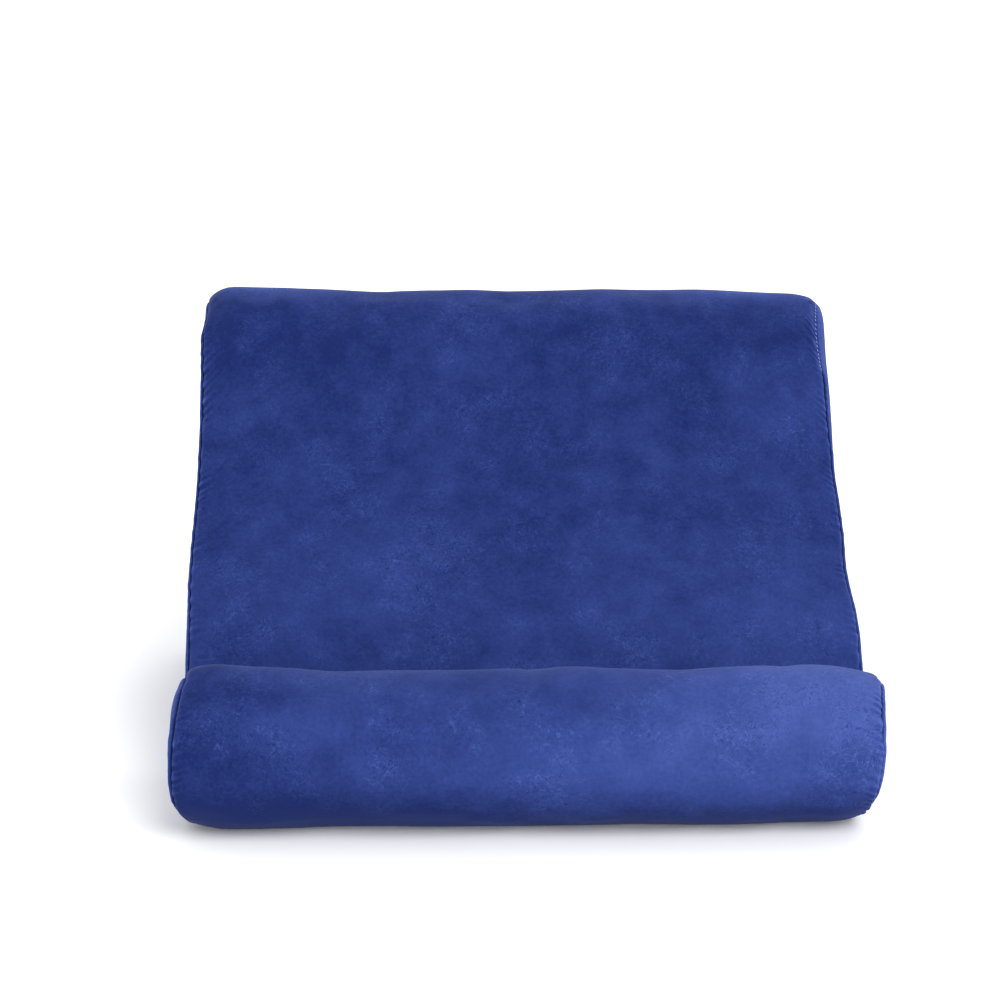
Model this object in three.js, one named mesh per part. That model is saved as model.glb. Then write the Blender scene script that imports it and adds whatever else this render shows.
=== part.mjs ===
// A soft lap stand: a stuffed wedge cushion, with a stuffed roll sewn along the front foot
// of its sloping rest face. What stands on it leans on the rest face, with its lower edge
// in the valley behind the roll.
// Millimetres, +Z up, +X to the sitter's right, front towards -Y.
// The origin is under the middle of the stand.
import * as THREE from 'three';

// Driving dimensions
const wedgeSeamX = 136; // half the width between the wedge's side seams
const wedgePanelCrown = 6.5; // how far each stuffed side panel swells out past its seam
const rollSeamX = 133;
const rollPanelCrown = 5.5;
const rollRadius = 30.8;
const rollRearReach = 34.5; // the roll's back bulges into the join
const rollAxisHeight = 29.2;
const sewnJoinY = 30; // where the roll is sewn against the wedge, behind the roll's axis
const sewnJoinGap = 0.3;
const floorPress = 1; // how softly the filling rounds off where the surface flattens it
const joinPress = 2.4;
const velvet = { color: 0x2f4288, roughness: 0.85, metalness: 0 };

// The wedge seen from its side: y runs back from the roll's axis, z up from the surface it stands on.
// drawIn is how far the side seam pulls that place in. Places below z = 0 are pressed flat.
const wedgeOutline = [
  { place: 'nose foot', y: 33, z: 4, drawIn: 3 },
  { place: 'base front', y: 45, z: -3.4, drawIn: 3 },
  { place: 'base quarter', y: 80, z: -4.6, drawIn: 3.4 },
  { place: 'base middle', y: 130, z: -4.8, drawIn: 3.4 },
  { place: 'base back', y: 186, z: -3.6, drawIn: 3.6 },
  { place: 'heel under', y: 206, z: 2.6, drawIn: 5 },
  { place: 'heel', y: 214.5, z: 17, drawIn: 5.5 },
  { place: 'back low', y: 216.5, z: 42, drawIn: 4 },
  { place: 'back middle', y: 213.5, z: 84, drawIn: 4 },
  { place: 'back high', y: 208.5, z: 126, drawIn: 4.5 },
  { place: 'back shoulder', y: 203, z: 156, drawIn: 5.5 },
  { place: 'crest back', y: 193, z: 173.5, drawIn: 6.5 },
  { place: 'crest', y: 176, z: 181, drawIn: 7 },
  { place: 'crest front', y: 160, z: 174.5, drawIn: 5.5 },
  { place: 'rest face high', y: 146, z: 161, drawIn: 4 },
  { place: 'rest face upper', y: 131, z: 137.5, drawIn: 3.2 },
  { place: 'rest face middle', y: 114, z: 114.5, drawIn: 3 },
  { place: 'rest face lower', y: 94, z: 94, drawIn: 3 },
  { place: 'rest face low', y: 73, z: 77, drawIn: 3 },
  { place: 'rest face foot', y: 54.5, z: 61, drawIn: 2.8 },
  { place: 'valley side', y: 43, z: 46.5, drawIn: 2.4 },
  { place: 'valley', y: 35, z: 37.5, drawIn: 2 },
  { place: 'join top', y: 28.6, z: 30, drawIn: 2 },
  { place: 'join', y: 26.6, z: 19, drawIn: 2 },
];

const wedgeShape = {
  steps: 84, // around the outline
  seamX: wedgeSeamX,
  panelCrown: wedgePanelCrown,
  panelCentre: { y: 126, z: 70 },
  roundOver: 15, // the length over which the cover turns down to the side seam
  swell: 1, // how much of the uneven stuffing shows
  bodyStations: 12,
  roundStations: 5,
  panelRings: [0.975, 0.93, 0.82, 0.65, 0.42, 0.18],
};

const rollShape = {
  steps: 44,
  seamX: rollSeamX,
  panelCrown: rollPanelCrown,
  panelCentre: { y: -1, z: 29 },
  roundOver: 16,
  swell: 0.45,
  bodyStations: 12,
  roundStations: 4,
  panelRings: [0.93, 0.8, 0.6, 0.34],
};
const rollDrawIn = 3.4;
const rollSag = { depth: 1, from: 84, to: 116 }; // the top of the roll dips between its two ends

const roundOverPower = 2.5;
const seamGroove = { depth: 1.3, halfWidth: 4.5 };
const panelProfile = { inner: 3, outer: 0.7 };

// The stuffing is a little uneven: slow swells along and around each piece.
const swells = [
  { height: 0.8, alongX: 1 / 190, alongY: 1 / 240, alongZ: 1 / 150, phase: 0.9 },
  { height: 0.6, alongX: 1 / 96, alongY: -1 / 130, alongZ: 1 / 110, phase: 2.3 },
  { height: 0.4, alongX: -1 / 58, alongY: 1 / 74, alongZ: 1 / 66, phase: 4.1 },
];

function swellAt(x, y, z) {
  return swells.reduce((sum, s) => {
    const turns = x * s.alongX + y * s.alongY + z * s.alongZ;
    return sum + s.height * Math.sin(2 * Math.PI * turns + s.phase);
  }, 0);
}

// The larger of value and limit, rounded off over softness and exactly limit well below it.
function pressedAbove(value, limit, softness) {
  const overlap = Math.max(softness - Math.abs(value - limit), 0);
  return Math.max(value, limit) + (overlap * overlap) / (4 * softness);
}

const pressedBelow = (value, limit, softness) => -pressedAbove(-value, -limit, softness);

// Points around an outline, each with its outward direction and how far the seam draws it in.
function withNormals(points) {
  const count = points.length;
  return points.map((p, i) => {
    const before = points[(i + count - 1) % count];
    const after = points[(i + 1) % count];
    const length = Math.hypot(after.x - before.x, after.y - before.y);
    const outY = (after.y - before.y) / length;
    const outZ = -(after.x - before.x) / length;
    return { y: p.x, z: p.y, drawIn: p.z, outY, outZ };
  });
}

function wedgeSection(steps) {
  const rows = wedgeOutline.map((row) => new THREE.Vector3(row.y, row.z, row.drawIn));
  const curve = new THREE.CatmullRomCurve3(rows, true, 'centripetal');
  return withNormals(curve.getSpacedPoints(steps).slice(0, steps));
}

function rollSection(steps) {
  const points = Array.from({ length: steps }, (_, i) => {
    const turn = (2 * Math.PI * i) / steps;
    const y = (Math.cos(turn) > 0 ? rollRearReach : rollRadius) * Math.cos(turn);
    const z = rollAxisHeight + rollRadius * Math.sin(turn);
    return new THREE.Vector3(y, z, rollDrawIn);
  });
  return withNormals(points);
}

// Places along X from one side seam to the other, closer together where the cover turns
// down to the seam.
function stationsOf(shape) {
  const inner = shape.seamX - shape.roundOver;
  const half = [];
  for (let i = 0; i < shape.roundStations; i += 1) {
    const along = (i + 1) / shape.roundStations;
    half.push(inner + shape.roundOver * Math.sin((along * Math.PI) / 2));
  }
  const body = Array.from(
    { length: shape.bodyStations + 1 },
    (_, i) => -inner + (2 * inner * i) / shape.bodyStations,
  );
  return [...half.map((x) => -x).reverse(), ...body, ...half];
}

// How far in from the outline the cover lies at x: the round-over, and the groove that the
// seam stitches make.
function insetAt(shape, x, drawIn) {
  const fromSeam = shape.seamX - Math.abs(x);
  const along = Math.max(1 - fromSeam / shape.roundOver, 0);
  const groove = Math.max(1 - fromSeam / seamGroove.halfWidth, 0);
  return drawIn * along ** roundOverPower + seamGroove.depth * groove ** 2;
}

// One ring of points for each station, then rings that close each side panel in a crown.
function ringsOf(shape, section, settle) {
  const ringAt = (x) =>
    section.map((p) => {
      const out = shape.swell * swellAt(x, p.y, p.z) - insetAt(shape, x, p.drawIn);
      return settle(x, p.y + p.outY * out, p.z + p.outZ * out);
    });
  const panelAt = (side) => {
    const seam = ringAt(side * shape.seamX);
    return shape.panelRings.map((scale) => {
      const rise = shape.panelCrown * (1 - scale ** panelProfile.inner) ** panelProfile.outer;
      return seam.map((p) => {
        const y = THREE.MathUtils.lerp(shape.panelCentre.y, p.y, scale);
        const z = THREE.MathUtils.lerp(shape.panelCentre.z, p.z, scale);
        return new THREE.Vector3(side * (shape.seamX + rise), y, z);
      });
    });
  };
  return [...panelAt(-1).reverse(), ...stationsOf(shape).map(ringAt), ...panelAt(1)];
}

function poleOf(shape, side) {
  const { y, z } = shape.panelCentre;
  return new THREE.Vector3(side * (shape.seamX + shape.panelCrown), y, z);
}

// A closed body: quads between neighbouring rings, and a fan from each pole.
function skinOf(rings, firstPole, lastPole) {
  const steps = rings[0].length;
  const points = [...rings.flat(), firstPole, lastPole];
  const first = points.length - 2;
  const last = points.length - 1;
  const faces = [];
  for (let r = 0; r < rings.length - 1; r += 1) {
    for (let i = 0; i < steps; i += 1) {
      const next = (i + 1) % steps;
      const a = r * steps + i;
      const b = r * steps + next;
      faces.push(a, b, b + steps, a, b + steps, a + steps);
    }
  }
  const top = (rings.length - 1) * steps;
  for (let i = 0; i < steps; i += 1) {
    const next = (i + 1) % steps;
    faces.push(first, next, i);
    faces.push(last, top + i, top + next);
  }
  const geometry = new THREE.BufferGeometry().setFromPoints(points);
  geometry.setIndex(faces);
  geometry.computeVertexNormals();
  return geometry;
}

function stuffedPiece(name, shape, section, settle) {
  const rings = ringsOf(shape, section, settle);
  const geometry = skinOf(rings, poleOf(shape, -1), poleOf(shape, 1));
  const mesh = new THREE.Mesh(geometry, new THREE.MeshStandardMaterial(velvet));
  mesh.name = name;
  return mesh;
}

function wedgeCushion() {
  const settle = (x, y, z) => {
    const behindJoin = pressedAbove(y, sewnJoinY + sewnJoinGap, joinPress);
    return new THREE.Vector3(x, behindJoin, pressedAbove(z, 0, floorPress));
  };
  return stuffedPiece('wedge_cushion', wedgeShape, wedgeSection(wedgeShape.steps), settle);
}

function frontRoll() {
  const settle = (x, y, z) => {
    const aboveAxis = Math.max(z - rollAxisHeight, 0) / rollRadius;
    const dip = rollSag.depth * (1 - THREE.MathUtils.smoothstep(Math.abs(x), rollSag.from, rollSag.to));
    const beforeJoin = pressedBelow(y, sewnJoinY, joinPress);
    return new THREE.Vector3(x, beforeJoin, pressedAbove(z - dip * aboveAxis, 0, floorPress));
  };
  return stuffedPiece('front_roll', rollShape, rollSection(rollShape.steps), settle);
}

const stand = new THREE.Group();
stand.add(wedgeCushion(), frontRoll());

// Centre the stand over the origin, with its foot at z = 0.
const reach = new THREE.Box3().setFromObject(stand);
const middle = reach.getCenter(new THREE.Vector3());
stand.position.set(-middle.x, -middle.y, -reach.min.z);

export default stand;
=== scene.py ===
import math

import bpy
import numpy as np
from mathutils import Matrix, Vector, noise


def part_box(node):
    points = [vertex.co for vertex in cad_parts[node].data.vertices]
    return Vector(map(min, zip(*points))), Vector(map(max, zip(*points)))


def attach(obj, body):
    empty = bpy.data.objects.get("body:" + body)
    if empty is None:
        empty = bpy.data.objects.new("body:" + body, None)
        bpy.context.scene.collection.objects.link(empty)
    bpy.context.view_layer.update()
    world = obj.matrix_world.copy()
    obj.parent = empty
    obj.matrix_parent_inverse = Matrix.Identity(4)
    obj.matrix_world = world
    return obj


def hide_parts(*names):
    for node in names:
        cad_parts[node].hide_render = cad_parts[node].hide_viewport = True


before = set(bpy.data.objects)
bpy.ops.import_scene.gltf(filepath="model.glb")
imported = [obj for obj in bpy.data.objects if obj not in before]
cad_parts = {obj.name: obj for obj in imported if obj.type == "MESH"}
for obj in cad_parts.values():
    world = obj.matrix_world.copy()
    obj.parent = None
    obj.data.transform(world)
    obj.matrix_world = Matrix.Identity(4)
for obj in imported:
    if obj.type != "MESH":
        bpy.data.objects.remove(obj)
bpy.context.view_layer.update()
mm = 0.001


# everyday helpers

def deselectAll():
    for thing in bpy.context.selected_objects:
        thing.select_set(False)
    bpy.context.view_layer.objects.active = None


def makeActive(thing):
    deselectAll()
    thing.select_set(True)
    bpy.context.view_layer.objects.active = thing


def applyAll(thing):
    makeActive(thing)
    for modifier in list(thing.modifiers):
        bpy.ops.object.modifier_apply(modifier=modifier.name)


def newPiece(name, mesh):
    thing = bpy.data.objects.new(name, mesh)
    bpy.context.scene.collection.objects.link(thing)
    return thing


def pointsOf(thing):
    points = np.zeros(len(thing.data.vertices) * 3)
    thing.data.vertices.foreach_get("co", points)
    return points.reshape(-1, 3)


def normalsOf(thing):
    normals = np.zeros(len(thing.data.vertices) * 3)
    thing.data.vertex_normals.foreach_get("vector", normals)
    return normals.reshape(-1, 3)


def putPoints(thing, points):
    thing.data.vertices.foreach_set("co", np.ascontiguousarray(points, dtype=np.float32).ravel())
    thing.data.update()


def smoothShare(value, start, end):
    share = np.clip((value - start) / (end - start), 0, 1)
    return share * share * (3 - 2 * share)


def noiseAt(points, size, seed=0):
    shift = Vector((seed * 17.31, seed * 5.77, seed * 9.13))
    return np.array([noise.noise(Vector(point) / size + shift) for point in points])


def pressedAbove(value, limit, softness):
    overlap = np.maximum(softness - np.abs(value - limit), 0)
    return np.maximum(value, limit) + overlap * overlap / (4 * softness)


# the two stuffed pieces

joinY = (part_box("wedge_cushion")[0].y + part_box("front_roll")[1].y) / 2

wedgeMake = {
    "node": "wedge_cushion",
    "seamX": 136 * mm,
    "around": 1280,          # points around the outline, beside the seams
    # the rings lose every second point: at these shares of the side panel's width
    "halvings": (0.945, 0.8, 0.5, 0.28, 0.12),
    "coarser": (5.5 * mm, 14 * mm),  # and this far in from a seam
    "slimBy": 1.6 * mm,      # the cover before it is stuffed
    "voxel": 4 * mm,
    "pressure": 4,
    "slack": -0.02,          # below zero the cloth is cut larger than its seams
    "mostSwell": 6 * mm,
    "evenRounds": 120,
    "mostRipple": 1 * mm,
    "behindJoin": True,
    "fill": 0.75,
    "nudge": 0.0,
    # soft pulls by hand: where, how far they reach, and how far they move the cover
    "pulls": [
        {"place": "left top corner", "at": (-136, 83, 176), "reach": 22, "move": (-1.1, 0, 0.1)},
        {"place": "left side high", "at": (-142, 55, 150), "reach": 38, "move": (1.1, 0, 0)},
        {"place": "left side middle", "at": (-142, 25, 105), "reach": 38, "move": (1.6, 0, 0)},
        {"place": "left side low", "at": (-142, 5, 62), "reach": 38, "move": (-0.1, 0, 0)},
        {"place": "right top corner", "at": (136, 83, 176), "reach": 22, "move": (4.3, 0, 0)},
        {"place": "right side high", "at": (142, 55, 150), "reach": 38, "move": (1.6, 0, 0)},
        {"place": "right side middle", "at": (142, 25, 105), "reach": 38, "move": (0.5, 0, 0)},
        {"place": "right side low", "at": (142, 5, 62), "reach": 38, "move": (0.7, 0, 0)},
        {"place": "left side foot", "at": (-142, -15, 70), "reach": 20, "move": (0.7, 0, 0)},
        {"place": "right side foot", "at": (142, -15, 62), "reach": 20, "move": (-1.1, 0, 0)},
        {"place": "crest left", "at": (-95, 82, 182), "reach": 30, "move": (0, 0, 1.5)},
        {"place": "crest right", "at": (100, 82, 182), "reach": 28, "move": (0, 0, 1.3)},
    ],
    "toneAndPaintedLight": 0.16,             # 0 is the darkest tone, 1 the lightest; painted light and painted shade are added to it
    # patches painted lighter or darker, and how much each changes the level: painted light, painted
    # shade and specks
    "paintedLightAndTone": [
        # lighter at the foot of the face, and painted light on its right side, where the light
        # comes from
        {"place": "foot of the face", "at": (20, -45, 55), "reach": (150, 50, 42), "toneAndPaintedLight": 0.14},
        {"place": "foot, right", "at": (105, -30, 75), "reach": (45, 40, 40), "toneAndPaintedLight": 0.1},
        {"place": "middle right", "at": (105, 20, 115), "reach": (40, 30, 30), "toneAndPaintedLight": 0.07},
        # painted shade under the crest, and a painted highlight along the crest rim
        {"place": "under crest, left", "at": (-108, 62, 166), "reach": (45, 22, 17), "toneAndPaintedLight": -0.16},
        {"place": "under crest, right", "at": (112, 62, 166), "reach": (40, 18, 14), "toneAndPaintedLight": -0.08},
        {"place": "crest rim, left", "at": (-108, 82, 182), "reach": (40, 14, 5), "toneAndPaintedLight": 0.3},
        {"place": "crest rim, right", "at": (105, 82, 182), "reach": (45, 14, 5), "toneAndPaintedLight": 0.5},
        {"place": "nick, top right", "at": (135.6, 75.5, 177), "reach": (1.6, 2, 2), "toneAndPaintedLight": -0.7},
        {"place": "speck beside it", "at": (134, 76.6, 178), "reach": (1, 1.2, 1.2), "toneAndPaintedLight": 0.8},
    ],
    "endPuckers": (1, 0.9),  # left, right
    "cornerFlat": 0.8,       # the side seams lie nearly flat over the top corners
    "openSeam": (1, -4, 40),  # right end, from and to, mm past the top
    # the course of each side seam: (mm past the top, mm slid onto the front, mm outwards)
    "leftSeam": [(-350, 0, 2), (-40, 0, 2), (0, 0, 0.4), (7, 0, 0.6), (14, 0, 1.6), (20, 0, 3),
                 (62, 0, 3.4), (82, 0, 3.9), (154, 0, 4), (166, 0, 3.2), (176, 0, 2.6),
                 (190, 0, 2), (350, 0, 2)],
    "rightSeam": [(-350, 0, 1.5), (-30, 2, 0.5), (-5, 3.8, 0), (6, 4.2, 0), (15, 4.2, 0),
                  (21, 3.6, 0), (27, 3, 0), (37, 1.9, 0.1), (44, 1.1, 0.9), (66, 0.4, 1.1),
                  (80, 0, 1.9), (93, 0, 1.9), (106, 0, 2.6), (126, 0, 2.9), (148, 0, 1.9),
                  (159, 0, 2.4), (170, 0, 3), (183, 0, 3), (215, 0, 2), (350, 0, 1.5)],
}

rollMake = {
    "node": "front_roll",
    "seamX": 133 * mm,
    "around": 384,
    "halvings": (0.75, 0.45, 0.2),
    "coarser": (14 * mm,),
    "slimBy": 1.2 * mm,
    "voxel": 4 * mm,
    "pressure": 4,
    "slack": -0.035,
    "mostSwell": 5 * mm,
    "evenRounds": 80,
    "mostRipple": 0.45 * mm,
    "behindJoin": False,
    "fill": 0.8,
    "nudge": 0.3 * mm,
    "pulls": [
        {"place": "left end high", "at": (-138, -94, 50), "reach": 24, "move": (-2.2, 0, 0)},
        {"place": "left end", "at": (-138, -98, 26), "reach": 24, "move": (-2, 0, 0)},
        {"place": "left end low", "at": (-134, -104, 5), "reach": 20, "move": (1.1, 0, 0)},
        {"place": "right end high", "at": (138, -94, 50), "reach": 24, "move": (0.4, 0, 0)},
        {"place": "right end", "at": (138, -98, 26), "reach": 24, "move": (-6.8, 0, 0)},
        {"place": "right end low", "at": (134, -104, 5), "reach": 20, "move": (-1.8, 0, 0)},
        {"place": "left panel", "at": (-142, -108, 24), "reach": 17, "move": (2.4, 0, 0)},
        {"place": "right panel", "at": (138, -108, 50), "reach": 12, "move": (-0.8, 0, 0)},
        {"place": "top, far left", "at": (-128, -88, 58), "reach": 12, "move": (0, 0, 3)},
        {"place": "top, left", "at": (-108, -88, 60), "reach": 20, "move": (0, 0, 1.5)},
        {"place": "top, left of middle", "at": (-75, -88, 60), "reach": 24, "move": (0, 0, -1.4)},
        {"place": "top, near middle", "at": (-35, -88, 60), "reach": 28, "move": (0, 0, -1.5)},
        {"place": "top, middle", "at": (10, -88, 60), "reach": 28, "move": (0, 0, 0.8)},
        {"place": "top, right of middle", "at": (50, -88, 60), "reach": 24, "move": (0, 0, -1.4)},
        {"place": "top, right", "at": (112, -88, 60), "reach": 18, "move": (0, 0, 0.4)},
        {"place": "top, far right", "at": (132, -88, 58), "reach": 14, "move": (0, 0, -2.4)},
        {"place": "dent", "at": (74, -124, 25), "reach": 7, "move": (0, 0.6, 0)},
        {"place": "dent beside it", "at": (61, -123.5, 21), "reach": 6, "move": (0, 0.4, 0)},
        {"place": "dent, right", "at": (112, -122, 18), "reach": 9, "move": (0, 0.9, 0.2)},
        {"place": "dent, left end", "at": (-128.7, -122.2, 28.3), "reach": 7, "move": (0, 0.5, 0)},
    ],
    "toneAndPaintedLight": 0.27,
    "paintedLightAndTone": [
        # painted shade at the left end, painted light across the middle and at the right end, where
        # the light comes from
        {"place": "left end", "at": (-128, -115, 30), "reach": (52, 60, 60), "toneAndPaintedLight": -0.18},
        {"place": "middle", "at": (15, -125, 32), "reach": (95, 40, 20), "toneAndPaintedLight": 0.26},
        {"place": "right end", "at": (112, -108, 54), "reach": (54, 50, 28), "toneAndPaintedLight": 0.55},
        # painted shade in a band along the top left, painted light below it, and painted shade on
        # the right end panel
        {"place": "band, top left", "at": (-104, -106, 56), "reach": (30, 7, 3), "toneAndPaintedLight": -0.1},
        {"place": "lighter below it", "at": (-105, -117, 48), "reach": (30, 9, 8), "toneAndPaintedLight": 0.16},
        {"place": "right end panel", "at": (138, -112, 47), "reach": (4.5, 14, 13), "toneAndPaintedLight": -0.75},
        {"place": "right, mid height", "at": (100, -123, 36), "reach": (38, 10, 8), "toneAndPaintedLight": -0.13},
        {"place": "right, low", "at": (100, -122, 21), "reach": (38, 10, 7), "toneAndPaintedLight": 0.13},
        {"place": "middle, low", "at": (-15, -124, 21), "reach": (80, 8, 6), "toneAndPaintedLight": -0.08},
        {"place": "speck, left", "at": (-137.5, -117, 41), "reach": (1.2, 1.2, 1.2), "toneAndPaintedLight": 0.9},
        # painted shade in the dents
        {"place": "dent", "at": (74, -124, 25), "reach": (6, 6, 5), "toneAndPaintedLight": -0.07},
        {"place": "dent, right", "at": (112, -122, 18), "reach": (9, 6, 6), "toneAndPaintedLight": -0.09},
    ],
    "endPuckers": (0.65, 1.4),
    "cornerFlat": 0.2,
    "openSeam": (0, 0, 0),
    "leftSeam": [(-110, 0, 0), (-20, 0, 0), (0, 0, -0.8), (6, 0, 0.4), (14, 0, 1.3), (22, 0, 2.4),
                 (28, 0, 3.3), (33, 0, 4.1), (40, 0, 4.7), (52, 0, 5.8), (63, 0, 5.4), (80, 0, 2.4),
                 (110, 0, 0)],
    "rightSeam": [(-110, 0, 0), (-25, 0, 2), (-3, 0.6, 4), (9, 2, 3.3), (22, 2.3, 2.4),
                  (33, 1.4, 1.5), (38, 0.3, 1.4), (48, 1, 1.5), (58, 1.4, 1.7), (67, 0.8, 1.4),
                  (90, 0, 0.5), (110, 0, 0)],
}


def copyOfNode(make):
    # the CAD solid's mesh as clean quads, in an object of its own
    form = newPiece(make["node"] + "Form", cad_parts[make["node"]].data.copy())
    form.data.materials.clear()
    makeActive(form)
    bpy.ops.object.mode_set(mode="EDIT")
    bpy.ops.mesh.select_all(action="SELECT")
    bpy.ops.mesh.remove_doubles(threshold=0.02 * mm)
    bpy.ops.mesh.tris_convert_to_quads()
    bpy.ops.object.mode_set(mode="OBJECT")
    return form


pressed = {
    "onSurface": 0.5 * mm,   # how far the cover is drawn onto the surface, and onto the join
    "atJoin": 0.8 * mm,
    "reach": 1.6,            # how many times as far that draw is felt
    "joinGap": 0.3 * mm,
}


def settled(height, draw):
    # what lies within a hair of the face is drawn onto it
    hold = np.exp(-((height / (pressed["reach"] * draw)) ** 2))
    return pressedAbove(height - draw * hold, 0, draw)


def pressFlat(points, make):
    # flat on the surface it stands on, and flat against its neighbour
    points[:, 2] = settled(points[:, 2], pressed["onSurface"])
    gap = pressed["joinGap"] / 2
    behind = 1 if make["behindJoin"] else -1
    clear = behind * (points[:, 1] - joinY) - gap
    points[:, 1] = joinY + behind * (gap + settled(clear, pressed["atJoin"]))
    return points


stuffing = {
    "frames": 20,
    "heldAtSeam": 6 * mm,
    "heldAtFoot": (1.5 * mm, 6 * mm),   # wholly held below the first, free above the second
    "heldAtJoin": (2 * mm, 6 * mm),
}


def stuffCover(form, make):
    # a slimmer cover, blown up with its seams, its foot and its join held
    remesh = form.modifiers.new("evenMesh", "REMESH")
    remesh.mode = "VOXEL"
    remesh.voxel_size = make["voxel"]
    applyAll(form)
    start = pointsOf(form)
    cut = (start.copy(), normalsOf(form))
    held = np.exp(-(((np.abs(start[:, 0]) - make["seamX"]) / stuffing["heldAtSeam"]) ** 2))
    held = np.maximum(held, 1 - smoothShare(start[:, 2], *stuffing["heldAtFoot"]))
    held = np.maximum(held, 1 - smoothShare(np.abs(start[:, 1] - joinY), *stuffing["heldAtJoin"]))
    start -= normalsOf(form) * (make["slimBy"] * (1 - held))[:, None]
    putPoints(form, start)
    group = form.vertex_groups.new(name="held")
    for index, weight in enumerate(held):
        group.add([index], float(weight), "REPLACE")

    cloth = form.modifiers.new("stuffing", "CLOTH")
    cloth.settings.quality = 6
    cloth.settings.use_pressure = True
    cloth.settings.uniform_pressure_force = make["pressure"]
    cloth.settings.vertex_group_mass = "held"
    cloth.settings.shrink_min = make["slack"]
    cloth.settings.effector_weights.gravity = 0
    cloth.point_cache.frame_start = 1
    cloth.point_cache.frame_end = stuffing["frames"]
    for number in range(1, stuffing["frames"] + 1):
        bpy.context.scene.frame_set(number)
    makeActive(form)
    bpy.ops.object.modifier_apply(modifier="stuffing")
    bpy.context.scene.frame_set(1)
    swell = pointsOf(form) - start
    length = np.linalg.norm(swell, axis=1)
    swell *= np.minimum(1, make["mostSwell"] / np.maximum(length, 1e-9))[:, None]
    putPoints(form, start + swell)
    evenOut(form, cut, make)
    print(make["node"], "swelled", round(float(np.median(length)) / mm, 2), "mm, at most",
          round(float(length.max()) / mm, 2), "mm")


def spreadOut(values, edges, rounds):
    # each point's value shared with its neighbours, round after round
    count = np.zeros(len(values))
    np.add.at(count, edges.ravel(), 1)
    for _ in range(rounds):
        total = np.zeros(len(values))
        np.add.at(total, edges[:, 0], values[edges[:, 1]])
        np.add.at(total, edges[:, 1], values[edges[:, 0]])
        values = (values + total / count) / 2
    return values


def evenOut(form, cut, make):
    # the stuffing keeps the size the cushion was cut to, and leaves its ripples and gathers
    points, outward = cut
    edges = np.zeros(len(form.data.edges) * 2, dtype=np.int32)
    form.data.edges.foreach_get("vertices", edges)
    edges = edges.reshape(-1, 2)
    moved = pointsOf(form) - points
    out = (moved * outward).sum(1)
    broad = spreadOut(out, edges, make["evenRounds"])
    fine = spreadOut(out, edges, 2) - broad
    most = make["mostRipple"]
    fine = most * np.tanh(fine / most)
    putPoints(form, points + outward * fine[:, None])


def smoothForm(form, levels):
    smooth = form.modifiers.new("smooth", "SUBSURF")
    smooth.levels = levels
    smooth.render_levels = levels
    applyAll(form)


def ringOutline(points, atX, centre, angles):
    # how far the CAD ring at that place along X lies from the panel's centre, at each angle
    ring = points[np.abs(points[:, 0] - atX) < 0.02 * mm]
    turn = np.arctan2(ring[:, 2] - centre[2], ring[:, 1] - centre[1])
    reach = np.hypot(ring[:, 2] - centre[2], ring[:, 1] - centre[1])
    order = np.argsort(turn)
    return np.interp(angles, turn[order], reach[order], period=2 * math.pi)


coverMake = {
    "firstStep": 0.22 * mm,  # the rings lie closest together beside a seam
    "growth": 1.2,
    "largestStep": 4 * mm,
    "panelReached": 0.97,    # the last ring stops this share of the way to the panel's middle
    "fineAngles": 4000,      # places around the outline where its length is measured
    "crown": (3, 0.7),       # how a side panel swells: inner and outer power, as in the CAD
    "turnDown": 15 * mm,     # the strip turns down to the seam over this length
    "slideOnPanel": 12 * mm,  # how far a seam that wanders takes the cloth with it
    "slideOnStrip": 22 * mm,
    "pullOnPanel": 6 * mm,   # and the same where it is drawn outwards
    "pullOnStrip": 17 * mm,
}


def growingSteps(total):
    places = [0.0]
    step = coverMake["firstStep"]
    while places[-1] + step < total:
        places.append(places[-1] + step)
        step = min(step * coverMake["growth"], coverMake["largestStep"])
    return np.array(places) * total / (places[-1] + step * 0.5)


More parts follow.
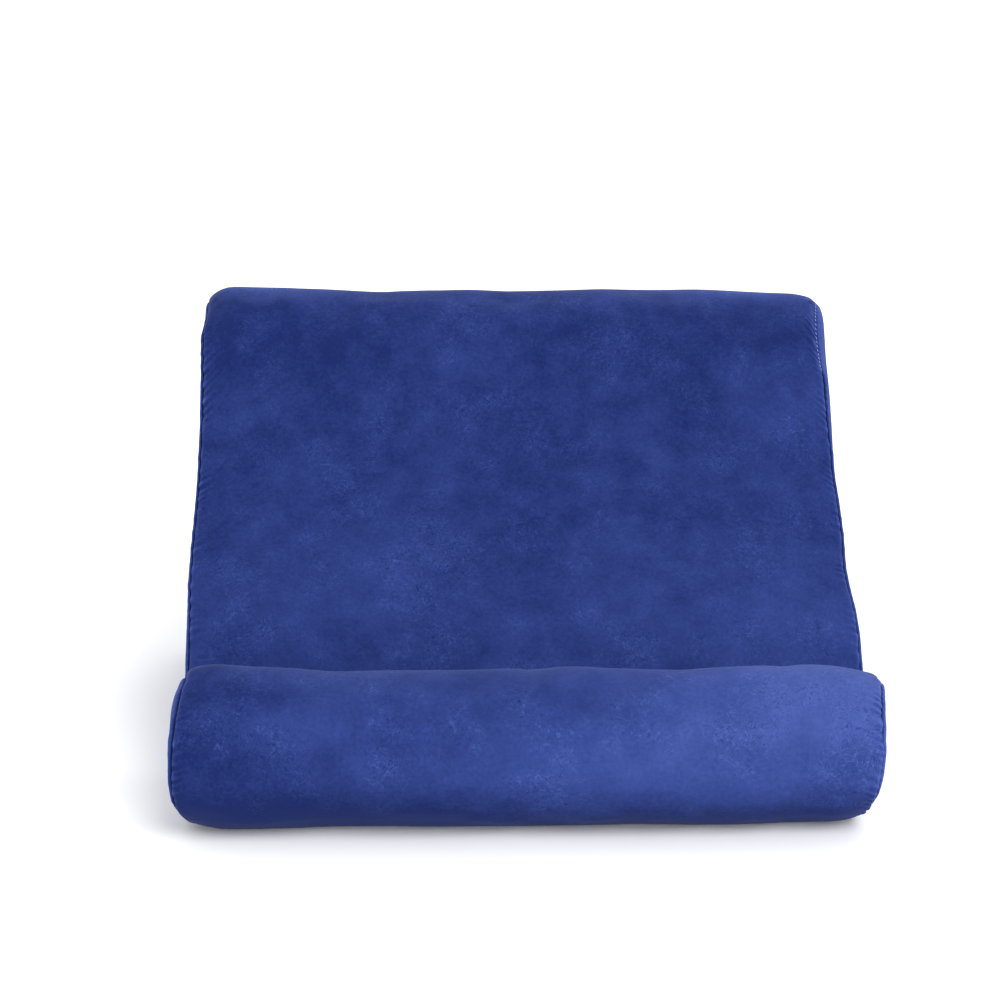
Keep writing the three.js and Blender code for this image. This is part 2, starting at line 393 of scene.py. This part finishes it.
def coverGrid(make, cadPoints):
    # rings of points around the piece: side panel, strip, side panel
    centre = cadPoints[np.argmax(cadPoints[:, 0])]
    angles = np.linspace(-math.pi, math.pi, coverMake["fineAngles"] + 1)[:-1]
    body = ringOutline(cadPoints, 0.0, centre, angles)
    y, z = body * np.cos(angles), body * np.sin(angles)
    along = np.hypot(np.diff(y, append=y[0]), np.diff(z, append=z[0])).cumsum()
    wanted = np.arange(make["around"]) * along[-1] / make["around"]
    pastTop = (wanted - along[np.argmax(z)] + along[-1] / 2) % along[-1] - along[-1] / 2
    angles = np.interp(wanted, along, angles)
    body = ringOutline(cadPoints, 0.0, centre, angles)

    seamX = make["seamX"]
    panelReach = float(body.mean())
    strip = growingSteps(seamX)
    panel = growingSteps(panelReach * coverMake["panelReached"])[1:]
    crown = abs(centre[0]) - seamX
    inner, outer = coverMake["crown"]
    points, faces, facts = [], [], []
    previous = None
    for side, distance in [(-1, -d) for d in panel[::-1]] + [(-1, d) for d in strip] + \
            [(1, d) for d in strip[::-1][1:]] + [(1, -d) for d in panel]:
        scale = 1 + distance / panelReach if distance < 0 else 1
        skip = 2 ** (sum(scale < limit for limit in make["halvings"]) +
                     sum(distance > limit for limit in make["coarser"]))
        pick = np.arange(0, make["around"], skip)
        seam = ringOutline(cadPoints, side * seamX, centre, angles[pick])
        course = np.array(make["leftSeam"] if side < 0 else make["rightSeam"]) * mm
        wander = np.interp(pastTop[pick], course[:, 0], course[:, 1])
        reachOfWander = coverMake["slideOnPanel"] if distance < 0 else coverMake["slideOnStrip"]
        d = distance + wander * np.exp(-((distance / reachOfWander) ** 2))
        share = np.clip(1 + d / panelReach, 0, 1)
        rise = crown * (1 - share ** inner) ** outer
        onStrip = seam + (body[pick] - seam) * smoothShare(d, 0, coverMake["turnDown"])
        reach = np.where(d < 0, seam * share, onStrip)
        x = side * np.where(d < 0, seamX + rise, seamX - d)
        start = len(points)
        for k, at in enumerate(pick):
            y = centre[1] + reach[k] * math.cos(angles[at])
            z = centre[2] + reach[k] * math.sin(angles[at])
            points.append((x[k], y, z))
            facts.append((pastTop[at], distance, side))
        if previous:
            faces += joinRings(previous, (start, len(pick)))
        previous = (start, len(pick))
    poles = len(points)
    points += [(-centre[0], centre[1], centre[2]), tuple(centre)]
    facts += [(0.0, -panelReach, -1), (0.0, -panelReach, 1)]
    last, count = previous
    for k in range(count):
        after = (k + 1) % count
        faces.append((poles, after, k))
        faces.append((poles + 1, last + k, last + after))
    return np.array(points), faces, np.array(facts)


def joinRings(one, two):
    # quads between rings with as many points, and triangles where one has twice as many
    (a, n), (b, m) = one, two
    faces = []
    if n == m:
        for k in range(n):
            after = (k + 1) % n
            faces.append((a + k, a + after, b + after, b + k))
    elif n < m:
        for k in range(n):
            after = (k + 1) % n
            left, middle, right = b + 2 * k, b + 2 * k + 1, b + (2 * k + 2) % m
            faces += [(a + k, middle, left), (a + k, a + after, middle), (a + after, right, middle)]
    else:
        for k in range(m):
            after = (k + 1) % m
            left, middle, right = a + 2 * k, a + 2 * k + 1, a + (2 * k + 2) % n
            faces += [(left, middle, b + k), (middle, b + after, b + k), (middle, right, b + after)]
    return faces


def coverOn(form, make):
    # the cover's own mesh, drawn over the stuffed form
    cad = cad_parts[make["node"]]
    cadPoints = pointsOf(cad)
    points, faces, facts = coverGrid(make, cadPoints)
    mesh = bpy.data.meshes.new(make["node"] + "Cover")
    mesh.from_pydata(points.tolist(), [], faces)
    cover = newPiece(make["node"] + "_cover", mesh)
    mesh.validate()
    makeActive(cover)
    bpy.ops.object.mode_set(mode="EDIT")
    bpy.ops.mesh.select_all(action="SELECT")
    bpy.ops.mesh.normals_make_consistent(inside=False)
    bpy.ops.object.mode_set(mode="OBJECT")
    wrap = cover.modifiers.new("overStuffing", "SHRINKWRAP")
    wrap.target = form
    wrap.wrap_method = "TARGET_PROJECT"
    wrap.wrap_mode = "ON_SURFACE"
    applyAll(cover)
    bpy.data.objects.remove(form)
    print(make["node"], "cover has", len(mesh.polygons), "faces")
    return cover, facts


def pullByHand(cover, facts, make):
    points = pointsOf(cover)
    moved = points.copy()
    pastTop, fromSeam, side = facts.T
    for end, name in ((-1, "leftSeam"), (1, "rightSeam")):
        course = np.array(make[name]) * mm
        outward = np.interp(pastTop, course[:, 0], course[:, 2])
        reach = np.where(fromSeam < 0, coverMake["pullOnPanel"], coverMake["pullOnStrip"])
        hold = np.exp(-((fromSeam / reach) ** 2))
        moved[:, 0] += (side == end) * end * outward * hold
    for pull in make["pulls"]:
        away = np.linalg.norm(points - np.array(pull["at"]) * mm, axis=1)
        hold = np.exp(-((away / (pull["reach"] * mm)) ** 2))
        moved += hold[:, None] * np.array(pull["move"]) * mm
    moved[:, 0] += make["nudge"]
    putPoints(cover, pressFlat(moved, make))


seamMake = {
    "depth": 1.6 * mm,       # the groove where the turned edges meet
    "halfWidth": 0.7 * mm,
    "lip": 0.5 * mm,         # the cloth puffs up beside it
    "lipAt": 2.2 * mm,
    "lipWidth": 1.6 * mm,
    "tick": 3.8 * mm,        # from one small pucker to the next
    "tickDepth": 0.25 * mm,
    "tickReach": 2.1 * mm,
    "tickPeak": 2.5,         # how narrow its ridge is
    "slant": -0.6,           # the puckers climb away from the seam
    "gather": 9.5 * mm,      # larger, softer gathers
    "gatherDepth": 0.5 * mm,
    "gatherReach": 3.2 * mm,
    "gatherPeak": 1.5,
    "puckersFrom": 0.6 * mm,  # the groove itself has no puckers
    "onPanel": 0.3,          # how much of the puckers the side panel shows
    "shade": 0.95,           # how dark the pile looks down in the groove
    "shadeWidth": 0.5 * mm,
    "openFades": (6, 5),     # mm over which the open part begins and ends
    "openShallower": 0.75,
    "tickLight": 0.85,       # painted highlight on a pucker's ridge
    "lipLight": 0.5,         # and on the puffed lip
    # painted light on the side panel beside the seam
    "panelLight": 0.6,
    "lightAt": 1.5 * mm,     # where the lip is lightest, and how far that reaches
    "lightWidth": 0.9 * mm,
    "lightOnGather": (0.45, 0.8, -0.4, 1),  # usual strength, its change, the change's range
    "panelLightFrom": (0.4 * mm, 1.2 * mm),
    "panelLightReach": 6 * mm,
    "cornerReach": 16 * mm,  # the top corners, where the seam lies flatter
}


rippleMake = {
    "drift": 0.8,            # how unevenly the ridges are spaced
    "driftLength": 3.1,      # ridges from one change to the next
    "strength": 0.42,
    "strengthChange": 1.4,
    "strengthLength": 3.7,
    "weakest": 0.05,
    "strongest": 1.3,
    "hollow": 0.6,           # a hollow's depth, where a ridge is 1 high
}


def ripple(along, length, seed, peak):
    # an uneven wave along the seam, its ridges narrower than its hollows
    places = along / (rippleMake["driftLength"] * length)
    drift = noiseAt([(place, seed, 0) for place in places], 1.0, seed)
    places = along / (rippleMake["strengthLength"] * length)
    change = noiseAt([(place, 0, seed) for place in places], 1.0, seed + 3)
    strength = rippleMake["strength"] + rippleMake["strengthChange"] * change
    wave = 0.5 + 0.5 * np.sin(2 * math.pi * (along / length + rippleMake["drift"] * drift))
    hollow = rippleMake["hollow"]
    height = (1 + hollow) * wave ** peak - hollow
    return height * np.clip(strength, rippleMake["weakest"], rippleMake["strongest"])


def sewSeams(cover, facts, make):
    pastTop, fromSeam, side = facts.T
    d = np.abs(fromSeam)
    onPanel = fromSeam < 0
    openEnd, openFrom, openTo = make["openSeam"]
    fadesIn, fadesOut = seamMake["openFades"]
    opened = (side == openEnd) * smoothShare(pastTop, (openFrom - fadesIn) * mm, openFrom * mm)
    opened *= 1 - smoothShare(pastTop, openTo * mm, (openTo + fadesOut) * mm)
    flatter = 1 - make["cornerFlat"] * np.exp(-((pastTop / seamMake["cornerReach"]) ** 2))
    shallower = 1 - seamMake["openShallower"] * opened
    groove = shallower * np.exp(-((d / seamMake["halfWidth"]) ** 2))
    lip = np.exp(-(((d - seamMake["lipAt"]) / seamMake["lipWidth"]) ** 2))
    ticks, gathers = np.zeros(len(d)), np.zeros(len(d))
    for seed, end in ((3, -1), (8, 1)):
        for panelHere in (False, True):
            here = (d < 5 * seamMake["gatherReach"]) & (side == end) & (onPanel == panelHere)
            key = seed + (20 if panelHere else 0)
            slanted = pastTop[here] - seamMake["slant"] * d[here]
            ticks[here] = ripple(slanted, seamMake["tick"], key, seamMake["tickPeak"])
            gathers[here] = ripple(slanted, seamMake["gather"], key + 5, seamMake["gatherPeak"])
    ticks *= np.exp(-d / seamMake["tickReach"])
    gathers *= np.exp(-d / seamMake["gatherReach"])
    strength = smoothShare(d, 0, seamMake["puckersFrom"]) * np.where(side < 0, *make["endPuckers"])
    strength *= flatter * np.where(onPanel, seamMake["onPanel"], 1)
    waves = strength * (seamMake["tickDepth"] * ticks + seamMake["gatherDepth"] * gathers)
    shift = waves + flatter * (seamMake["lip"] * lip - seamMake["depth"] * groove)
    points = pointsOf(cover) + normalsOf(cover) * shift[:, None]
    putPoints(cover, pressFlat(points, make))
    # painted shade down in the groove, less where the seam opens; painted highlights on the pucker
    # ridges and the lip, painted light on the side panel
    shade = (1 - opened) * np.exp(-((d / seamMake["shadeWidth"]) ** 2))
    lit = np.exp(-(((d - seamMake["lightAt"]) / seamMake["lightWidth"]) ** 2))
    usual, change, least, most = seamMake["lightOnGather"]
    lit *= usual + change * np.clip(gathers, least, most)
    toneAndPaintedLight = seamMake["tickLight"] * strength * ticks + seamMake["lipLight"] * lit * ~onPanel
    fading = np.exp(-d / seamMake["panelLightReach"])
    besideSeam = smoothShare(d, *seamMake["panelLightFrom"]) * fading
    toneAndPaintedLight += seamMake["panelLight"] * onPanel * besideSeam
    return toneAndPaintedLight - seamMake["shade"] * shade


def paintToneAndLight(cover, seamShadeAndHighlights, make):
    # how light the velvet is at each point, its tone with painted light and painted shade, kept on
    # the mesh for the velvet
    points, normals = pointsOf(cover), normalsOf(cover)
    toneAndPaintedLight = make["toneAndPaintedLight"] + seamShadeAndHighlights
    for patch in make["paintedLightAndTone"]:
        away = (points - np.array(patch["at"]) * mm) / (np.array(patch["reach"]) * mm)
        toneAndPaintedLight += patch["toneAndPaintedLight"] * np.exp(-(away ** 2).sum(1))
    # painted shade where the surface faces down
    toneAndPaintedLight -= velvetLook["paintedUndersideShade"] * smoothShare(-normals[:, 2], 0, 0.9)
    layer = cover.data.attributes.new("toneAndPaintedLight", "FLOAT", "POINT")
    layer.data.foreach_set("value", toneAndPaintedLight.astype(np.float32))


def stuffedPiece(make, material):
    form = copyOfNode(make)
    stuffCover(form, make)
    smoothForm(form, 1)
    cover, facts = coverOn(form, make)
    pullByHand(cover, facts, make)
    seamShadeAndHighlights = sewSeams(cover, facts, make)
    paintToneAndLight(cover, seamShadeAndHighlights, make)
    makeActive(cover)
    bpy.ops.object.shade_smooth()
    cover.data.materials.append(material)
    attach(cover, "root")
    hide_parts(make["node"])
    return cover, facts


# the open seam's stitches

stitchMake = {
    "from": 1 * mm,          # past the top
    "to": 39 * mm,
    "pitch": 2.1 * mm,
    "length": 1.5 * mm,
    "thickness": 0.42 * mm,
    "slant": 0.35,           # each stitch leans across the seam, by an uneven amount
    "slantChange": 0.5,
    "slantWave": 2900,
    "sunk": 0.08 * mm,
    "seamKnown": 60 * mm,    # the stretch of the seam that they follow
    "dark": (0.10, 0.15, 0.42, 1),       # the thread's two colours, along its twist
    "light": (0.30, 0.36, 0.70, 1),
    "twist": 900,
}


def addStitches(cover, facts, material):
    pastTop, fromSeam, side = facts.T
    points, normals = pointsOf(cover), normalsOf(cover)
    onSeam = (fromSeam == 0) & (side == 1) & (np.abs(pastTop) < stitchMake["seamKnown"])
    order = np.argsort(pastTop[onSeam])
    along, line, up = pastTop[onSeam][order], points[onSeam][order], normals[onSeam][order]
    deselectAll()
    bpy.ops.mesh.primitive_uv_sphere_add(segments=14, ring_count=8, radius=0.5)
    stitch = bpy.context.object
    bpy.ops.object.mode_set(mode="EDIT")
    bpy.ops.mesh.select_all(action="SELECT")
    thick = stitchMake["thickness"]
    bpy.ops.transform.resize(value=(stitchMake["length"], thick, thick))
    bpy.ops.object.mode_set(mode="OBJECT")
    bpy.ops.object.shade_smooth()
    copies = []
    for at in np.arange(stitchMake["from"], stitchMake["to"], stitchMake["pitch"]):
        here = Vector([np.interp(at, along, line[:, k]) for k in range(3)])
        ahead = Vector([np.interp(at + 1 * mm, along, line[:, k]) for k in range(3)]) - here
        outward = Vector([np.interp(at, along, up[:, k]) for k in range(3)]).normalized()
        across = outward.cross(ahead).normalized()
        change = stitchMake["slantChange"] * math.sin(at * stitchMake["slantWave"])
        lean = stitchMake["slant"] * (1 + change)
        ahead = (ahead.normalized() + across * lean).normalized()
        turn = Matrix((ahead, outward.cross(ahead).normalized(), outward)).transposed().to_4x4()
        copy = newPiece("stitch", stitch.data.copy())
        place = Matrix.Translation(here + outward * (thick / 2 - stitchMake["sunk"]))
        copy.data.transform(place @ turn)
        copies.append(copy)
    bpy.data.objects.remove(stitch)
    deselectAll()
    for copy in copies:
        copy.select_set(True)
    bpy.context.view_layer.objects.active = copies[0]
    bpy.ops.object.join()
    thread = bpy.context.object
    thread.name = "seam_stitches"
    bpy.ops.object.mode_set(mode="EDIT")
    bpy.ops.mesh.select_all(action="SELECT")
    bpy.ops.mesh.normals_make_consistent(inside=False)
    bpy.ops.object.mode_set(mode="OBJECT")
    thread.data.materials.clear()
    thread.data.materials.append(material)
    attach(thread, "root")
    print(len(copies), "stitches")


def threadMaterial():
    # pale blue thread, lighter and darker along its twist
    material = bpy.data.materials.new("paleBlueThread")
    material.use_nodes = True
    nodes, links = material.node_tree.nodes, material.node_tree.links
    shader = nodes["Principled BSDF"]
    shader.inputs["Roughness"].default_value = 0.6
    where = nodes.new("ShaderNodeTexCoord")
    twist = nodes.new("ShaderNodeTexWave")
    twist.bands_direction = "DIAGONAL"
    twist.inputs["Scale"].default_value = stitchMake["twist"]
    twist.inputs["Distortion"].default_value = 2
    links.new(where.outputs["Object"], twist.inputs["Vector"])
    ramp = nodes.new("ShaderNodeValToRGB")
    ramp.color_ramp.elements[0].color = stitchMake["dark"]
    ramp.color_ramp.elements[1].color = stitchMake["light"]
    links.new(twist.outputs["Fac"], ramp.inputs["Fac"])
    links.new(ramp.outputs["Color"], shader.inputs["Base Color"])
    return material


# velvet

velvetLook = {
    "pileColors": [(0, (0.008, 0.018, 0.105, 1)), (0.5, (0.029, 0.052, 0.22, 1)),
                   (1, (0.062, 0.098, 0.345, 1))],
    # painted shade colour, down in the seam groove
    "grooveShadeColor": (0.003, 0.006, 0.036, 1),
    "sheen": 0.17,
    "sheenRoughness": 0.4,
    "sheenTint": (0.45, 0.55, 1.0, 1),
    "roughness": 0.85,
    "paintedUndersideShade": 0.38,       # painted shade: darker where the surface faces down
    "specular": 0.06,
    # each pattern: size of its marks, detail, roughness, and the twist of a curly one
    "broad": (60 * mm, 2, 0.5),
    "small": (13 * mm, 5, 0.62),
    "pile": (1.5 * mm, 3, 0.7),
    "ruffled": (26 * mm, 2, 0.5),
    "lightCurls": (4.2 * mm, 2, 0.55, 1.2),
    "darkCurls": (5 * mm, 2, 0.55, 1.6),
    # where a pattern counts: from one level of its noise to another, or near one
    "ruffledFrom": 0.44,
    "ruffledTo": 0.62,
    "lightLine": (0.53, 0.022),
    "darkLine": (0.49, 0.02),
    # how much each one changes the level
    "broadMarks": 0.5,
    "smallMarks": 0.55,
    "grain": 0.44,
    "lightStrokes": 0.55,
    "darkStrokes": 0.42,
    "strokesOnDark": 0.4,    # the fibres show most where the pile is light
    "grooveShadeFrom": -0.15,       # below this level the colour of the painted shade down in the seam groove takes over
    "grooveShadeWhole": -0.55,
    "pileBump": 0.4,
    "pileHeight": 0.4 * mm,
    "pileRise": 0.6,
    "marksRise": 0.5,
    "strokesRise": 0.25,
}


def velvetMaterial():
    material = bpy.data.materials.new("blueVelvet")
    material.use_nodes = True
    nodes, links = material.node_tree.nodes, material.node_tree.links
    nodes.clear()
    output = nodes.new("ShaderNodeOutputMaterial")
    shader = nodes.new("ShaderNodeBsdfPrincipled")
    shader.inputs["Roughness"].default_value = velvetLook["roughness"]
    shader.inputs["Sheen Weight"].default_value = velvetLook["sheen"]
    shader.inputs["Sheen Roughness"].default_value = velvetLook["sheenRoughness"]
    shader.inputs["Sheen Tint"].default_value = velvetLook["sheenTint"]
    shader.inputs["Specular IOR Level"].default_value = velvetLook["specular"]
    links.new(shader.outputs["BSDF"], output.inputs["Surface"])
    where = nodes.new("ShaderNodeTexCoord")
    paintedLightAndTone = nodes.new("ShaderNodeAttribute")
    paintedLightAndTone.attribute_name = "toneAndPaintedLight"

    def speckle(size, detail, roughness, distortion=0.0):
        pattern = nodes.new("ShaderNodeTexNoise")
        pattern.inputs["Scale"].default_value = 1 / size
        pattern.inputs["Detail"].default_value = detail
        pattern.inputs["Roughness"].default_value = roughness
        pattern.inputs["Distortion"].default_value = distortion
        links.new(where.outputs["Object"], pattern.inputs["Vector"])
        return pattern.outputs["Fac"]

    def sums(operation, one, two, three=None):
        node = nodes.new("ShaderNodeMath")
        node.operation = operation
        for socket, value in zip(node.inputs, (one, two, three)):
            if value is None:
                continue
            if isinstance(value, (int, float)):
                socket.default_value = value
            else:
                links.new(value, socket)
        return node.outputs["Value"]

    def strokes(pattern, middle, halfWidth):
        # thin curly lines where the noise passes a level, like fibres lying across each other
        away = sums("ABSOLUTE", sums("SUBTRACT", pattern, middle), None)
        line = nodes.new("ShaderNodeMapRange")
        line.inputs["From Min"].default_value = halfWidth
        line.inputs["From Max"].default_value = 0.0
        links.new(away, line.inputs["Value"])
        return line.outputs["Result"]

    def shareAbove(pattern, low, high):
        share = nodes.new("ShaderNodeMapRange")
        share.inputs["From Min"].default_value = low
        share.inputs["From Max"].default_value = high
        links.new(pattern, share.inputs["Value"])
        return share.outputs["Result"]

    broad = speckle(*velvetLook["broad"])
    marks = speckle(*velvetLook["small"])
    pile = speckle(*velvetLook["pile"])
    patches = speckle(*velvetLook["ruffled"])
    ruffled = shareAbove(patches, velvetLook["ruffledFrom"], velvetLook["ruffledTo"])
    light = strokes(speckle(*velvetLook["lightCurls"]), *velvetLook["lightLine"])
    dark = strokes(speckle(*velvetLook["darkCurls"]), *velvetLook["darkLine"])
    lightStrokes = sums("MULTIPLY", light, ruffled)
    darkStrokes = sums("MULTIPLY", dark, ruffled)

    level = paintedLightAndTone.outputs["Fac"]
    for pattern, gain in ((broad, "broadMarks"), (marks, "smallMarks"), (pile, "grain")):
        level = sums("MULTIPLY_ADD", sums("SUBTRACT", pattern, 0.5), velvetLook[gain], level)
    lively = sums("ADD", level, velvetLook["strokesOnDark"])
    for pattern, gain in ((lightStrokes, velvetLook["lightStrokes"]),
                          (darkStrokes, -velvetLook["darkStrokes"])):
        level = sums("MULTIPLY_ADD", sums("MULTIPLY", pattern, lively), gain, level)

    ramp = nodes.new("ShaderNodeValToRGB")
    stops = ramp.color_ramp.elements
    while len(stops) < len(velvetLook["pileColors"]):
        stops.new(0.5)
    for stop, (place, color) in zip(stops, velvetLook["pileColors"]):
        stop.position = place
        stop.color = color
    links.new(level, ramp.inputs["Fac"])
    # painted shade down in the seam groove
    inGrooveShade = shareAbove(paintedLightAndTone.outputs["Fac"], velvetLook["grooveShadeFrom"], velvetLook["grooveShadeWhole"])
    mix = nodes.new("ShaderNodeMix")
    mix.data_type = "RGBA"
    links.new(inGrooveShade, mix.inputs["Factor"])
    links.new(ramp.outputs["Color"], mix.inputs[6])
    mix.inputs[7].default_value = velvetLook["grooveShadeColor"]
    links.new(mix.outputs[2], shader.inputs["Base Color"])

    height = sums("MULTIPLY", marks, velvetLook["marksRise"])
    height = sums("MULTIPLY_ADD", pile, velvetLook["pileRise"], height)
    fibres = sums("SUBTRACT", lightStrokes, darkStrokes)
    height = sums("MULTIPLY_ADD", fibres, velvetLook["strokesRise"], height)
    bump = nodes.new("ShaderNodeBump")
    bump.inputs["Strength"].default_value = velvetLook["pileBump"]
    bump.inputs["Distance"].default_value = velvetLook["pileHeight"]
    links.new(height, bump.inputs["Height"])
    links.new(bump.outputs["Normal"], shader.inputs["Normal"])
    return material


# camera, floor and lights

standCamera = {
    "eye": (-57.2 * mm, -833.7 * mm, 327.3 * mm),
    "turnedRight": 3.3,      # degrees
    "lookingDown": 15.0,
    "tilted": 0.8,
    "lens": 73.3,
}


def addCamera():
    data = bpy.data.cameras.new("studioCamera")
    camera = newPiece("studioCamera", data)
    data.lens = standCamera["lens"]
    data.sensor_width = 36
    turned = math.radians(standCamera["turnedRight"])
    down = math.radians(standCamera["lookingDown"])
    ahead = Vector((math.sin(turned) * math.cos(down), math.cos(turned) * math.cos(down),
                    -math.sin(down)))
    right = Vector((math.cos(turned), -math.sin(turned), 0))
    up = right.cross(ahead)
    tilt = Matrix.Rotation(math.radians(-standCamera["tilted"]), 3, ahead)
    right, up = tilt @ right, tilt @ up
    turn = Matrix((right, up, -ahead)).transposed()
    camera.matrix_world = Matrix.Translation(standCamera["eye"]) @ turn.to_4x4()
    data.clip_start = 0.05
    data.clip_end = 200
    bpy.context.scene.camera = camera
    return camera


floorLook = {
    "size": 120,
    "color": (0.97, 0.97, 0.975, 1),
    "glow": 0.08,            # lit a little from below, for soft shadows
}


def addFloor():
    deselectAll()
    bpy.ops.mesh.primitive_plane_add(size=floorLook["size"], location=(0, 0, 0))
    floor = bpy.context.object
    floor.name = "studioFloor"
    material = bpy.data.materials.new("paleFloor")
    material.use_nodes = True
    shader = material.node_tree.nodes["Principled BSDF"]
    shader.inputs["Base Color"].default_value = floorLook["color"]
    shader.inputs["Roughness"].default_value = 0.95
    shader.inputs["Specular IOR Level"].default_value = 0.1
    shader.inputs["Emission Color"].default_value = (1, 1, 1, 1)
    shader.inputs["Emission Strength"].default_value = floorLook["glow"]
    floor.data.materials.append(material)


studioLight = {
    "overcast": 0.88,                    # even light from all round
    "keyFrom": (0.55, -0.75, 0.95),      # a broad soft light, upper front right
    "keyStrength": 1.7,
    "keySoftness": 40,                   # degrees across
    "rimFrom": (0.25, 0.75, 0.75),       # from behind, over the crest
    "rimStrength": 0.7,
    "rimSoftness": 50,
}


def addSun(name, comesFrom, strength, softness):
    data = bpy.data.lights.new(name, "SUN")
    data.energy = strength
    data.angle = math.radians(softness)
    light = newPiece(name, data)
    light.rotation_euler = Vector(comesFrom).to_track_quat("Z", "Y").to_euler()


def addLights():
    addSun("keyLight", studioLight["keyFrom"], studioLight["keyStrength"],
           studioLight["keySoftness"])
    addSun("rimLight", studioLight["rimFrom"], studioLight["rimStrength"],
           studioLight["rimSoftness"])
    world = bpy.data.worlds.new("paleStudio")
    bpy.context.scene.world = world
    world.use_nodes = True
    back = world.node_tree.nodes["Background"]
    back.inputs["Color"].default_value = (1, 1, 1, 1)
    back.inputs["Strength"].default_value = studioLight["overcast"]


addCamera()
addFloor()
addLights()
bpy.context.scene.view_settings.view_transform = "Standard"
print("studio ready")

velvet = velvetMaterial()
wedge, wedgeFacts = stuffedPiece(wedgeMake, velvet)
addStitches(wedge, wedgeFacts, threadMaterial())
print("wedge ready")
stuffedPiece(rollMake, velvet)
print("roll ready")
